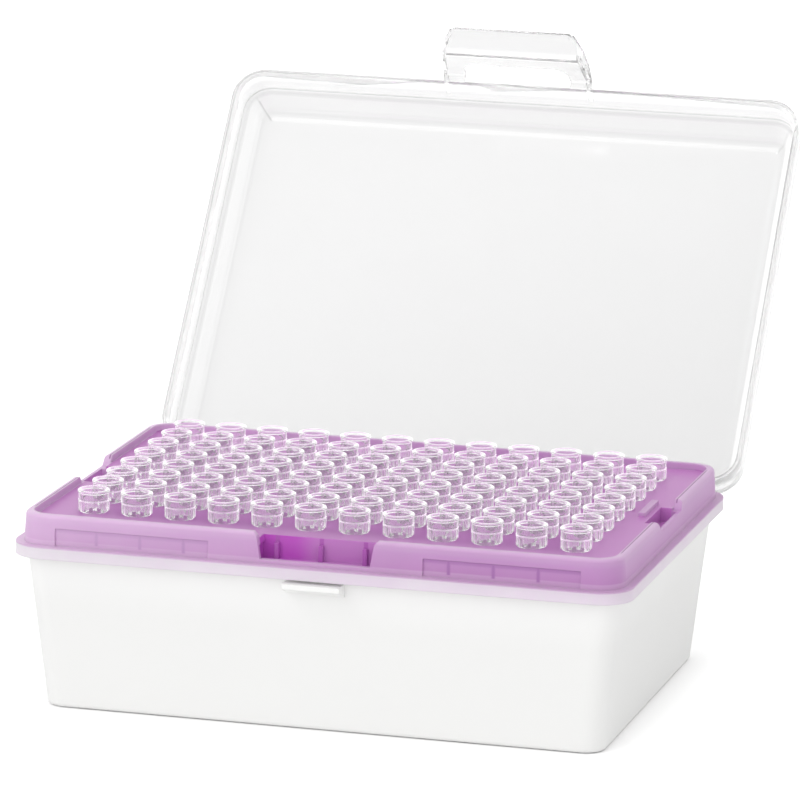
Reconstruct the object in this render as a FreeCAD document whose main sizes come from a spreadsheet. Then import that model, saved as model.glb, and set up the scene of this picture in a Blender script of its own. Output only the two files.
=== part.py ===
import FreeCAD, Part
import math
import os

import Sketcher
from FreeCAD import Placement, Rotation, Vector

# A hinged box of filter tips for a small laboratory pipette. An opaque tray stands on the bench,
# a coloured rack sits over its rim and holds twelve columns of eight tips, and a clear lid turns
# on two snap hinges at the back and latches over a catch at the front.
# Frame: origin at the centre of the foot, on the bench; +Z up, +X to the right, front towards -Y.

SIZES = [
    # outline shared by the rack's flange and the lid's rim
    ("end_margin", 13.5, "end column of tips to the outline, left and right"),
    ("front_margin", 14.0, "end row of tips to the outline, front and back"),
    ("outline_corner", 6.8, "corner radius of flange and lid rim"),
    # tray
    ("wall_spread", 3.3, "tray wall leans out from the foot to the rim"),
    ("wall_corner", 4.4, "corner radius of the tray wall"),
    ("foot_round", 0.9, "rounding under the foot"),
    ("tray_height", 33.1, "bench to the seat of the rack"),
    ("tray_wall", 1.5, "tray side wall"),
    ("tray_floor", 1.8, "tray floor"),
    ("wall_setback", 2.3, "outline to the top of the tray wall"),
    ("rim_thickness", 1.2, "tray rim under the rack's flange"),
    ("catch_width", 11.8, "ledge that the latch snaps under"),
    ("catch_thickness", 1.1, "height of the ledge's nose"),
    ("catch_root", 2.75, "height of the ledge at the wall"),
    ("catch_reach", 1.1, "ledge nose in front of the outline"),
    ("catch_drop", 0.6, "rack skirt to the top of the ledge"),
    # hinges
    ("hinge_spread", 36.0, "middle of the box to each hinge"),
    ("hinge_setback", 2.6, "outline to the hinge axis"),
    ("hinge_drop", 1.0, "flange top down to the hinge axis"),
    ("ear_thickness", 2.0, "each ear of a lug"),
    ("ear_radius", 2.3, "ear round the pin"),
    ("lug_floor", 1.4, "stop plate between the ears"),
    ("lug_gap", 0.24, "lug to the rack's skirt"),
    ("knuckle_width", 9.4, "lid knuckle between the ears"),
    ("knuckle_radius", 2.2, "lid knuckle round the pin"),
    ("knuckle_gap", 0.3, "knuckle to each ear"),
    ("knuckle_root", 3.1, "knuckle arm up the lid wall"),
    ("knuckle_arm", 1.0, "top of the knuckle arm, out from the outline"),
    ("knuckle_turn", 30.0, "degrees from level to where the arm leaves the knuckle"),
    ("pin_diameter", 2.4, "hinge pin moulded on the knuckle"),
    ("pin_gap", 0.05, "pin to its bore, on the radius"),
    ("snap_mouth", 1.9, "slit that lets the pin into the ear"),
    ("heel_reach", 2.55, "hinge axis to the flat of the heel"),
    ("heel_length", 2.3, "flat of the heel"),
    ("heel_tail", 0.85, "hinge axis to the top of the heel's end"),
    ("heel_gap", 0.05, "heel to its stop plate when open"),
    ("open_angle", 128.7, "degrees from closed to open"),
    # rack
    ("flange_thickness", 0.9, "ledge of the rack on the tray rim"),
    ("skirt_depth", 1.6, "skirt below the flange"),
    ("skirt_wall", 0.9, "skirt round the tray rim"),
    ("skirt_gap", 0.12, "skirt to tray rim"),
    ("rack_setback", 1.6, "outline to the foot of the rack wall"),
    ("rack_draft", 0.4, "lean of the rack wall"),
    ("rack_height", 6.1, "flange to the rack's raised rim"),
    ("rack_wall", 1.2, "rack side wall"),
    ("rack_corner", 5.5, "corner radius of the rack wall"),
    ("rack_rim", 1.5, "width of the raised rim"),
    ("rack_round", 0.8, "rounding of the raised rim"),
    ("plate_drop", 1.4, "raised rim down to the plate"),
    ("plate_thickness", 1.4, "plate that carries the tips"),
    ("locator_gap", 0.35, "locating lip to the top of the tray wall"),
    ("locator_wall", 1.0, "locating lip"),
    ("locator_depth", 2.4, "locating lip below the flange"),
    ("sleeve_wall", 0.9, "guide sleeve round each hole"),
    ("sleeve_depth", 2.8, "guide sleeve below the plate"),
    ("web_thickness", 0.9, "stiffening webs between the columns"),
    ("notch_width", 24.0, "finger notch in the front wall"),
    ("notch_taper", 0.8, "each side of the notch leans in"),
    ("notch_flare", 0.7, "top corners of the notch, cut back"),
    ("notch_sill", 0.8, "flange to the sill of the notch"),
    ("notch_depth", 5.1, "front wall to the back of the notch"),
    ("notch_wall", 1.0, "lining of the notch"),
    ("notch_floor", 0.1, "flange to the floor of the notch"),
    ("recess_ribs", 3, "ribs behind the lining of the notch"),
    ("panel_start", 21.9, "middle to the near end of a front panel"),
    ("panel_length", 31.6, "front panel, left to right"),
    ("panel_height", 3.5, "flange to the top of a front panel"),
    ("panel_depth", 0.5, "front panel into the wall"),
    ("grip_length", 17.6, "grip notch in each side rim"),
    ("grip_chamfer", 1.6, "sloping ends of a grip notch"),
    ("grip_floor", 0.6, "plate down to the floor of a grip notch"),
    ("pocket_length", 14.0, "pocket inside a grip notch"),
    ("pocket_width", 3.3, "pocket inside a grip notch"),
    ("pocket_depth", 2.9, "plate down to the floor of the pocket"),
    ("pocket_wall", 0.9, "lining of the pocket"),
    ("pocket_setback", 1.0, "foot of the rack wall to the pocket"),
    ("pocket_shift", 1.0, "middle of the rim to the middle of the pocket"),
    ("tab_length", 11.5, "raised tab beside a grip notch"),
    ("tab_width", 1.4, "raised tab"),
    ("tab_height", 0.9, "raised tab above the plate"),
    ("tab_setback", 7.6, "outline to the middle of a tab"),
    # tips and their filters
    ("tip_pitch", 9.0, "spacing of the tips both ways"),
    ("tip_columns", 12, "tips from left to right"),
    ("tip_rows", 8, "tips from front to back"),
    ("tip_length", 32.0, "lip to point"),
    ("collar_height", 4.5, "plate to the tip's lip"),
    ("lip_diameter", 6.4, "tip's lip"),
    ("lip_height", 0.6, "tip's lip"),
    ("collar_diameter", 6.1, "tip's collar"),
    ("collar_chamfer", 0.2, "foot of the collar"),
    ("shank_diameter", 5.1, "tip where it passes the plate"),
    ("shank_length", 5.0, "tip below the plate before it tapers"),
    ("hole_gap", 0.15, "tip to its hole, on the radius"),
    ("waist_diameter", 3.0, "tip where the slow taper ends"),
    ("waist_height", 12.0, "point to the end of the slow taper"),
    ("point_diameter", 0.9, "outside of the point"),
    ("point_bore", 0.4, "orifice of the point"),
    ("mouth_diameter", 5.2, "seat for the pipette's nose"),
    ("mouth_depth", 2.0, "seat for the pipette's nose"),
    ("mouth_draft", 0.15, "seat narrows downwards"),
    ("bore_diameter", 4.2, "bore below the seat"),
    ("bore_draft", 0.35, "bore narrows down to the filter"),
    ("filter_depth", 9.2, "lip down to the top of the filter's seat"),
    ("filter_seat", 4.0, "straight seat of the filter"),
    ("filter_length", 3.6, "filter plug"),
    ("filter_gap", 0.02, "filter to its bore, on the radius"),
    ("filter_ledge", 0.15, "ledge under the filter"),
    # lid
    ("lid_gap", 0.1, "flange to the rim of the closed lid"),
    ("lid_wall", 0.95, "lid wall"),
    ("lid_height", 12.7, "rim to the top of the closed lid"),
    ("shoulder_height", 5.2, "rim to the shoulder"),
    ("shoulder_step", 0.45, "width of the shoulder"),
    ("shoulder_ledge", 0.5, "shoulder outside to shoulder inside"),
    ("skirt_lean", 0.35, "lean of the lid wall below the shoulder"),
    ("crown_lean", 3.4, "lean of the lid wall above the shoulder"),
    ("crown_corner", 6.2, "corner radius at the shoulder"),
    ("crown_round", 2.2, "rounding of the top panel's edge"),
    ("latch_width", 33.4, "latch at the lid rim"),
    ("latch_taper", 1.6, "each side of the latch leans in towards its tip"),
    ("latch_plate", 1.1, "plate of the latch"),
    ("latch_gap", 0.15, "plate of the latch to the catch's nose"),
    ("latch_root", 4.6, "latch arms up the lid wall"),
    ("latch_arm", 1.7, "latch arms at the lid rim, out from the wall"),
    ("latch_rib", 3.3, "side ribs at the bar, out from the wall"),
    ("latch_foot", 1.4, "each foot of the latch on the lid wall, left to right"),
    ("latch_bend", 8.9, "lid rim down to the bend of the latch"),
    ("latch_length", 12.0, "lid rim down to the tip of the latch"),
    ("latch_flare", 5.6, "bend to tip, forwards"),
    ("bend_rise", 0.65, "front of the latch's bend above its back"),
    ("latch_corner", 3.6, "corner radius of the latch's tip"),
    ("window_width", 25.2, "window of the latch"),
    ("window_drop", 4.9, "lid rim down to the bar of the latch"),
    ("window_corner", 3.4, "corner radius of the window"),
    ("window_border", 1.6, "window to the hollow between the side ribs"),
    ("cut_past", 4.0, "a cutting shape reaches past what it cuts"),
]


class Size:
    """A length of the sheet: its value, and the expression that binds a property to it."""

    def __init__(self, value, text):
        self.value = value
        self.text = text

    def __add__(self, other):
        other = as_size(other)
        return Size(self.value + other.value, "(%s + %s)" % (self.text, other.text))

    def __sub__(self, other):
        other = as_size(other)
        return Size(self.value - other.value, "(%s - %s)" % (self.text, other.text))

    def __mul__(self, other):
        other = as_size(other)
        return Size(self.value * other.value, "(%s * %s)" % (self.text, other.text))

    def __truediv__(self, other):
        other = as_size(other)
        return Size(self.value / other.value, "(%s / %s)" % (self.text, other.text))

    def __neg__(self):
        return as_size(0) - self


def as_size(value):
    return value if isinstance(value, Size) else Size(float(value), "%g" % value)


def cosine(angle):
    return Size(math.cos(math.radians(angle.value)), "cos(%s * 1 deg)" % angle.text)


def sine(angle):
    return Size(math.sin(math.radians(angle.value)), "sin(%s * 1 deg)" % angle.text)


def slope_angle(rise):
    return Size(math.degrees(math.atan(rise.value)), "atan(%s)" % rise.text)


class Sizes:
    """The sheet's lengths by name."""


def make_sheet(doc):
    sheet = doc.addObject("Spreadsheet::Sheet", "Sizes")
    named = Sizes()
    for row, (name, value, note) in enumerate(SIZES, start=1):
        sheet.set("A%d" % row, name)
        sheet.set("B%d" % row, "%g" % value)
        sheet.set("C%d" % row, note)
        sheet.setAlias("B%d" % row, name)
        setattr(named, name, Size(float(value), "Sizes.%s" % name))
    doc.recompute()
    return named


DOC = FreeCAD.newDocument("TipBox")
S = make_sheet(DOC)

# heights above the bench that several pieces share
FLANGE_TOP = S.tray_height + S.flange_thickness
SKIRT_FOOT = S.tray_height - S.skirt_depth
RACK_TOP = FLANGE_TOP + S.rack_height
PLATE_TOP = RACK_TOP - S.plate_drop
PLATE_FOOT = PLATE_TOP - S.plate_thickness
TIP_TOP = PLATE_TOP + S.collar_height
TIP_FOOT = TIP_TOP - S.tip_length
LID_RIM = FLANGE_TOP + S.lid_gap
# places front to back and left to right
WIDTH = S.tip_pitch * (S.tip_columns - 1) + S.end_margin * 2
DEPTH = S.tip_pitch * (S.tip_rows - 1) + S.front_margin * 2
FOOT_INSET = S.wall_setback + S.wall_spread
FOOT_WIDTH = WIDTH - FOOT_INSET * 2
FOOT_DEPTH = DEPTH - FOOT_INSET * 2
BACK = DEPTH / 2
HINGE_Y = BACK + S.hinge_setback
HINGE_Z = FLANGE_TOP - S.hinge_drop
FIRST_COLUMN = -(S.tip_pitch * (S.tip_columns - 1) / 2)
FIRST_ROW = -(S.tip_pitch * (S.tip_rows - 1) / 2)
HOLE_DIAMETER = S.shank_diameter + S.hole_gap * 2
SLOT_WIDTH = S.knuckle_width + S.knuckle_gap * 2
LUG_WIDTH = SLOT_WIDTH + S.ear_thickness * 2
RIM_INSET = S.skirt_wall + S.skirt_gap
HOLLOW_HEIGHT = S.tray_height - S.tray_floor
HOLLOW_SPREAD = S.wall_spread * HOLLOW_HEIGHT / S.tray_height
HOLLOW_CORNER = S.wall_corner - S.tray_wall
RACK_INSIDE = S.rack_setback + S.rack_wall


# ---- document helpers ----

def new_body(name):
    body = DOC.addObject("PartDesign::Body", name)
    body.Label = name
    return body


def origin_plane(body, role):
    return [feature for feature in body.Origin.OriginFeatures if feature.Role == role][0]


def new_sketch(body, name, plane, offset):
    """A sketch on one of the body's own planes, moved along the plane's normal."""
    sketch = body.newObject("Sketcher::SketchObject", body.Name + "_" + name)
    sketch.AttachmentSupport = (origin_plane(body, plane + "_Plane"), "")
    sketch.MapMode = "FlatFace"
    offset = as_size(offset)
    sketch.AttachmentOffset = Placement(Vector(0, 0, offset.value), Rotation())
    sketch.setExpression("AttachmentOffset.Base.z", offset.text)
    return sketch


def bind(sketch, kind, *target):
    """Add one dimension whose last entry is a Size, and tie it to the sheet."""
    size = target[-1]
    index = sketch.addConstraint(Sketcher.Constraint(kind, *target[:-1], size.value))
    sketch.setExpression("Constraints[%d]" % index, size.text)


def place_point(sketch, line, end, across, up):
    """Fix an end of a line at two distances from the sketch's origin."""
    for kind, size, axis in (("DistanceX", across, -2), ("DistanceY", up, -1)):
        if abs(size.value) < 1e-9:
            sketch.addConstraint(Sketcher.Constraint("PointOnObject", line, end, axis))
        else:
            bind(sketch, kind, -1, 1, line, end, size)


def profile(body, name, plane, offset, points):
    """A closed outline of straight lines through points given as pairs of sizes."""
    sketch = new_sketch(body, name, plane, offset)
    points = [(as_size(across), as_size(up)) for across, up in points]
    spots = [Vector(across.value, up.value, 0) for across, up in points]
    count = len(points)
    for here in range(count):
        sketch.addGeometry(Part.LineSegment(spots[here], spots[(here + 1) % count]), False)
    for here in range(count):
        sketch.addConstraint(Sketcher.Constraint("Coincident", here, 2, (here + 1) % count, 1))
    for here, (across, up) in enumerate(points):
        place_point(sketch, here, 1, across, up)
    return sketch


def circle(body, name, plane, offset, across, up, diameter):
    sketch = new_sketch(body, name, plane, offset)
    across = as_size(across)
    up = as_size(up)
    middle = Vector(across.value, up.value, 0)
    sketch.addGeometry(Part.Circle(middle, Vector(0, 0, 1), diameter.value / 2), False)
    place_point(sketch, 0, 3, across, up)
    bind(sketch, "Radius", 0, diameter / 2)
    return sketch


def rounded_rectangle(body, name, plane, offset, width, height, corner, middle_up=0):
    """Four lines and four tangent arcs about the plane's upright axis."""
    sketch = new_sketch(body, name, plane, offset)
    middle_up = as_size(middle_up)
    right = width / 2
    top = middle_up + height / 2
    bottom = middle_up - height / 2
    x, y0, y1, r = right.value, bottom.value, top.value, corner.value
    ends = [((-x + r, y0), (x - r, y0)), ((x, y0 + r), (x, y1 - r)),
            ((x - r, y1), (-x + r, y1)), ((-x, y1 - r), (-x, y0 + r))]
    for start, end in ends:
        sketch.addGeometry(Part.LineSegment(Vector(*start, 0), Vector(*end, 0)), False)
    middles = [(x - r, y0 + r), (x - r, y1 - r), (-x + r, y1 - r), (-x + r, y0 + r)]
    for turn, middle in enumerate(middles):
        whole = Part.Circle(Vector(*middle, 0), Vector(0, 0, 1), r)
        start = math.radians(90 * turn - 90)
        sketch.addGeometry(Part.ArcOfCircle(whole, start, start + math.pi / 2), False)
    for turn in range(4):
        sketch.addConstraint(Sketcher.Constraint("Tangent", turn, 2, 4 + turn, 1))
        sketch.addConstraint(Sketcher.Constraint("Tangent", 4 + turn, 2, (turn + 1) % 4, 1))
        sketch.addConstraint(Sketcher.Constraint("Vertical" if turn % 2 else "Horizontal", turn))
        if turn:
            sketch.addConstraint(Sketcher.Constraint("Equal", 4, 4 + turn))
    bind(sketch, "Radius", 4, corner)
    bind(sketch, "DistanceX", -1, 1, 1, 1, right)
    bind(sketch, "DistanceX", -1, 1, 3, 1, -right)
    bind(sketch, "DistanceY", -1, 1, 0, 1, bottom)
    bind(sketch, "DistanceY", -1, 1, 2, 1, top)
    return sketch


def rectangle(body, name, height, width, depth):
    x = width / 2
    y = depth / 2
    return profile(body, name, "XY", height, [(-x, -y), (x, -y), (x, y), (-x, y)])


def extrude(body, kind, name, sketch, length, back=False, both=False):
    """A Pad or Pocket. A Pocket has to take some material away, and a Pad has to add some."""
    feature = body.newObject("PartDesign::" + kind, body.Name + "_" + name)
    feature.Profile = sketch
    feature.SideType = "Symmetric" if both else "One side"
    feature.Reversed = back
    length = as_size(length)
    feature.Length = length.value
    feature.setExpression("Length", length.text)
    DOC.recompute()
    check_change(feature, kind == "Pad")
    return feature


def check_change(feature, adds):
    before = feature.BaseFeature.Shape.Volume if feature.BaseFeature else 0.0
    change = feature.Shape.Volume - before
    if (change if adds else -change) < 1e-3:
        raise RuntimeError("%s changed nothing" % feature.Name)


def pad(body, name, sketch, length, **how):
    return extrude(body, "Pad", name, sketch, length, **how)


def pocket(body, name, sketch, length, **how):
    return extrude(body, "Pocket", name, sketch, length, **how)


def taper(feature, spread, length):
    """Lean a pad's or pocket's walls so that they move out by the spread over the length."""
    angle = slope_angle(spread / length)
    feature.TaperAngle = angle.value
    feature.setExpression("TaperAngle", angle.text)
    DOC.recompute()
    return feature


def fillet(body, name, radius, wanted):
    """Round the edges of the body's last feature that the test picks."""
    base = body.Tip
    edges = ["Edge%d" % (k + 1) for k, edge in enumerate(base.Shape.Edges) if wanted(edge)]
    feature = body.newObject("PartDesign::Fillet", body.Name + "_" + name)
    feature.Base = (base, edges)
    feature.Radius = radius.value
    feature.setExpression("Radius", radius.text)
    DOC.recompute()
    return feature


def flat_at(edge, height):
    box = edge.BoundBox
    return abs(box.ZMin - height.value) < 1e-4 and abs(box.ZMax - height.value) < 1e-4


def mirror_left(body, name, originals):
    """Repeat features of the right-hand side on the left."""
    feature = body.newObject("PartDesign::Mirrored", body.Name + "_" + name)
    feature.Originals = originals
    feature.MirrorPlane = (origin_plane(body, "YZ_Plane"), "")
    body.Tip = feature
    DOC.recompute()
    return feature


def repeat(body, name, original, axes):
    """Repeat a feature along one or two of the body's axes at the tips' pitch."""
    feature = body.newObject("PartDesign::LinearPattern", body.Name + "_" + name)
    feature.Originals = [original]
    for suffix, (role, count) in zip(("", "2"), axes):
        setattr(feature, "Direction" + suffix, (origin_plane(body, role), ""))
        length = S.tip_pitch * (count - 1)
        setattr(feature, "Length" + suffix, length.value)
        feature.setExpression("Length" + suffix, length.text)
        setattr(feature, "Occurrences" + suffix, int(count.value))
        feature.setExpression("Occurrences" + suffix, count.text)
    body.Tip = feature
    DOC.recompute()
    return feature


# ---- tray ----

def tray():
    body = new_body("base_tray")
    shell = rectangle(body, "shell_outline", 0, FOOT_WIDTH, FOOT_DEPTH)
    taper(pad(body, "shell", shell, S.tray_height), S.wall_spread, S.tray_height)
    fillet(body, "corners", S.wall_corner, lambda edge: edge.BoundBox.ZLength > 1)
    fillet(body, "foot_round", S.foot_round, lambda edge: flat_at(edge, as_size(0)))
    rim = rounded_rectangle(body, "rim_outline", "XY", S.tray_height - S.rim_thickness,
                            WIDTH - RIM_INSET * 2, DEPTH - RIM_INSET * 2,
                            S.outline_corner - RIM_INSET)
    pad(body, "rim", rim, S.rim_thickness)
    catch(body)
    lugs(body)
    # the hollow leans with the wall
    inset = S.tray_wall - S.wall_spread + HOLLOW_SPREAD
    hollow = rounded_rectangle(body, "hollow_outline", "XY", S.tray_floor,
                               FOOT_WIDTH - inset * 2, FOOT_DEPTH - inset * 2,
                               HOLLOW_CORNER)
    taper(pocket(body, "hollow", hollow, HOLLOW_HEIGHT, back=True), HOLLOW_SPREAD, HOLLOW_HEIGHT)
    return body


def catch(body):
    """A short ledge under the rack's skirt, sloping below so that the latch rides over it."""
    top = SKIRT_FOOT - S.catch_drop
    nose = -(BACK + S.catch_reach)
    root = -(BACK - S.wall_setback - S.tray_wall / 2)
    ledge = profile(body, "catch_outline", "YZ", 0, [
        (root, top), (nose, top), (nose, top - S.catch_thickness),
        (root, top - S.catch_root)])
    pad(body, "catch", ledge, S.catch_width, both=True)


def lugs(body):
    """Two ears on a stop plate behind each end of the lid, with a slit for snapping the pin in."""
    low = HINGE_Z - S.heel_reach - S.heel_gap
    root = BACK - S.wall_setback - S.tray_wall / 2
    near = HINGE_Y - S.ear_radius
    far = HINGE_Y + S.ear_radius
    foot = low - S.lug_floor
    under = SKIRT_FOOT - S.lug_gap
    outer = S.hinge_spread - LUG_WIDTH / 2
    post = profile(body, "lug_outline", "YZ", outer, [
        (root, under), (near, under), (near, HINGE_Z), (far, HINGE_Z), (far, foot),
        (root, foot - S.ear_radius)])
    lug = pad(body, "lug", post, LUG_WIDTH)
    boss = circle(body, "ear_outline", "YZ", outer, HINGE_Y, HINGE_Z, S.ear_radius * 2)
    ear = pad(body, "ear", boss, LUG_WIDTH)
    reach = S.heel_reach + S.heel_length
    gap = profile(body, "slot_outline", "YZ", S.hinge_spread - SLOT_WIDTH / 2, [
        (near - S.knuckle_gap, low), (far + reach, low), (far + reach, HINGE_Z + reach),
        (near - S.knuckle_gap, HINGE_Z + reach)])
    slot = pocket(body, "slot", gap, SLOT_WIDTH, back=True)
    hole = circle(body, "bore_outline", "YZ", outer, HINGE_Y, HINGE_Z,
                  S.pin_diameter + S.pin_gap * 2)
    bore = pocket(body, "bore", hole, LUG_WIDTH, back=True)
    half = S.snap_mouth / 2
    slit = profile(body, "mouth_outline", "YZ", outer, [
        (HINGE_Y - half, HINGE_Z), (HINGE_Y + half, HINGE_Z),
        (HINGE_Y + half, HINGE_Z + reach), (HINGE_Y - half, HINGE_Z + reach)])
    mouth = pocket(body, "mouth", slit, LUG_WIDTH, back=True)
    mirror_left(body, "left_lug", [lug, ear, slot, bore, mouth])


# ---- rack ----

def rack():
    body = new_body("tip_rack")
    flange = rounded_rectangle(body, "flange_outline", "XY", SKIRT_FOOT,
                               WIDTH, DEPTH, S.outline_corner)
    pad(body, "flange", flange, S.skirt_depth + S.flange_thickness)
    rack_shell(body)
    rack_webs(body)
    rack_notch(body)
    rack_panels(body)
    rack_grips(body)
    sleeve = circle(body, "sleeve_outline", "XY", PLATE_FOOT - S.sleeve_depth,
                    FIRST_COLUMN, FIRST_ROW, HOLE_DIAMETER + S.sleeve_wall * 2)
    sleeve = pad(body, "sleeve", sleeve, S.sleeve_depth)
    grid = (("X_Axis", S.tip_columns), ("Y_Axis", S.tip_rows))
    repeat(body, "sleeves", sleeve, grid)
    hole = circle(body, "hole_outline", "XY", PLATE_TOP, FIRST_COLUMN, FIRST_ROW, HOLE_DIAMETER)
    hole = pocket(body, "hole", hole, S.plate_thickness + S.sleeve_depth)
    repeat(body, "holes", hole, grid)
    return body


def rack_shell(body):
    """Flange and skirt over the tray rim, raised wall with a rounded rim, sunken plate."""
    skirt = rounded_rectangle(body, "skirt_inside", "XY", SKIRT_FOOT,
                              WIDTH - S.skirt_wall * 2,
                              DEPTH - S.skirt_wall * 2,
                              S.outline_corner - S.skirt_wall)
    pocket(body, "skirt", skirt, S.skirt_depth, back=True)
    wall = rounded_rectangle(body, "wall_outline", "XY", FLANGE_TOP,
                             WIDTH - S.rack_setback * 2,
                             DEPTH - S.rack_setback * 2, S.rack_corner)
    taper(pad(body, "wall", wall, S.rack_height), -S.rack_draft, S.rack_height)
    fillet(body, "rim_round", S.rack_round, lambda edge: flat_at(edge, RACK_TOP))
    locator_inset = S.wall_setback + S.tray_wall + S.locator_gap
    locator_corner = HOLLOW_CORNER + HOLLOW_SPREAD - S.locator_gap
    locator = rounded_rectangle(body, "locator_outline", "XY", S.tray_height,
                                WIDTH - locator_inset * 2,
                                DEPTH - locator_inset * 2, locator_corner)
    pad(body, "locator", locator, S.locator_depth, back=True)
    rim_inset = S.rack_setback + S.rack_draft + S.rack_rim
    plate = rounded_rectangle(body, "plate_outline", "XY", PLATE_TOP,
                              WIDTH - rim_inset * 2, DEPTH - rim_inset * 2,
                              S.rack_corner - S.rack_rim)
    pocket(body, "plate", plate, S.plate_drop, back=True)
    # hollow under the plate, narrower at the locating lip
    lip_inset = locator_inset + S.locator_wall
    throat = rounded_rectangle(body, "throat_outline", "XY", S.tray_height - S.locator_depth,
                               WIDTH - lip_inset * 2, DEPTH - lip_inset * 2,
                               locator_corner - S.locator_wall)
    pocket(body, "throat", throat, S.locator_depth + S.flange_thickness, back=True)
    hollow = rounded_rectangle(body, "hollow_outline", "XY", FLANGE_TOP,
                               WIDTH - RACK_INSIDE * 2,
                               DEPTH - RACK_INSIDE * 2, S.rack_corner - S.rack_wall)
    height = PLATE_FOOT - FLANGE_TOP
    taper(pocket(body, "hollow", hollow, height, back=True),
          -S.rack_draft * height / S.rack_height, height)


def rack_webs(body):
    """Thin webs from front to back, midway between the columns of tips."""
    half = S.web_thickness / 2
    reach = BACK - RACK_INSIDE + S.rack_wall / 2
    start = FIRST_COLUMN + S.tip_pitch / 2
    web = profile(body, "web_outline", "XY", PLATE_FOOT - S.sleeve_depth, [
        (start - half, -reach), (start + half, -reach), (start + half, reach),
        (start - half, reach)])
    web = pad(body, "web", web, S.sleeve_depth)
    repeat(body, "webs", web, (("X_Axis", S.tip_columns - 1),))


def rack_notch(body):
    """A finger notch in the front wall: a lined recess, open at the front and the top."""
    face = BACK - S.rack_setback
    inside = face - S.notch_depth
    half = S.notch_width / 2
    lined = half + S.notch_wall
    lining = profile(body, "lining_outline", "XY", FLANGE_TOP - S.flange_thickness, [
        (-lined, -(face - S.rack_wall / 2)), (lined, -(face - S.rack_wall / 2)),
        (lined, -(inside - S.notch_wall)), (-lined, -(inside - S.notch_wall))])
    pad(body, "lining", lining, PLATE_FOOT - FLANGE_TOP + S.flange_thickness)
    recess = profile(body, "recess_outline", "XY", PLATE_FOOT, [
        (-half, -(face - S.rack_wall)), (half, -(face - S.rack_wall)), (half, -inside),
        (-half, -inside)])
    pocket(body, "recess", recess, PLATE_FOOT - FLANGE_TOP - S.notch_floor)
    sill = FLANGE_TOP + S.notch_sill
    flare = RACK_TOP - S.notch_flare
    low = half - S.notch_taper
    wide = half + S.notch_flare
    mouth = profile(body, "mouth_outline", "XZ", inside, [
        (-low, sill), (low, sill), (half, flare), (wide, RACK_TOP), (-wide, RACK_TOP),
        (-half, flare)])
    pocket(body, "mouth", mouth, S.notch_depth + S.rack_draft, back=True)
    side = S.web_thickness / 2
    rib = profile(body, "recess_rib_outline", "XY", FLANGE_TOP, [
        (-S.tip_pitch - side, -(inside + S.notch_wall)),
        (side - S.tip_pitch, -(inside + S.notch_wall)),
        (side - S.tip_pitch, -(inside - S.notch_wall / 2)),
        (-S.tip_pitch - side, -(inside - S.notch_wall / 2))])
    rib = pad(body, "recess_rib", rib, PLATE_FOOT - FLANGE_TOP)
    repeat(body, "recess_ribs", rib, (("X_Axis", S.recess_ribs),))


def rack_panels(body):
    """Two shallow sunk panels in the front wall, one each side of the notch."""
    face = BACK - S.rack_setback - S.panel_depth
    panel = profile(body, "panel_outline", "XZ", face, [
        (S.panel_start, FLANGE_TOP), (S.panel_start + S.panel_length, FLANGE_TOP),
        (S.panel_start + S.panel_length, FLANGE_TOP + S.panel_height),
        (S.panel_start, FLANGE_TOP + S.panel_height)])
    panel = pocket(body, "panel", panel, S.panel_depth * 2, back=True)
    mirror_left(body, "left_panel", [panel])


def rack_grips(body):
    """A grip notch in each side rim, a pocket in its floor and a raised tab on the plate."""
    half = S.grip_length / 2
    floor = PLATE_TOP - S.grip_floor
    over = RACK_TOP + S.plate_drop
    slope = S.grip_chamfer * (over - floor) / (RACK_TOP - floor)
    edge = WIDTH / 2 - S.rack_setback
    inner = edge - S.rack_draft - S.rack_rim
    grip = profile(body, "grip_outline", "YZ", inner, [
        (-half, floor), (half, floor), (half + slope, over), (-half - slope, over)])
    grip = pocket(body, "grip", grip, S.rack_rim + S.rack_draft * 2, back=True)
    mirror_left(body, "left_grip", [grip])
    outside = edge - S.pocket_setback
    inside = outside - S.pocket_width
    out = WIDTH / 2 - S.tab_setback
    long = S.pocket_length / 2
    reach = S.tab_length / 2
    # the left side is the right side turned half round
    for side, name in ((1, "right"), (-1, "left")):
        middle = S.pocket_shift * side
        box(body, "Pad", name + "_pocket_lining", PLATE_FOOT, middle, long + S.pocket_wall,
            (inside - S.pocket_wall) * side, (outside + S.pocket_wall / 2) * side,
            S.pocket_depth + S.pocket_wall - S.plate_thickness, down=True)
        box(body, "Pocket", name + "_pocket", PLATE_TOP, middle, long, inside * side,
            outside * side, S.pocket_depth)
        box(body, "Pad", name + "_tab", PLATE_TOP, S.tip_pitch / 2 * side, reach,
            (out - S.tab_width / 2) * side, (out + S.tab_width / 2) * side, S.tab_height)


def box(body, kind, name, height, middle, reach, near, far, length, down=False):
    """A block, or a hollow when the kind is a pocket, that reaches equally both ways from middle."""
    outline = profile(body, name + "_outline", "XY", height, [
        (near, middle - reach), (far, middle - reach), (far, middle + reach),
        (near, middle + reach)])
    return extrude(body, kind, name, outline, length, back=down)


# ---- tips and filters ----

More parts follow.
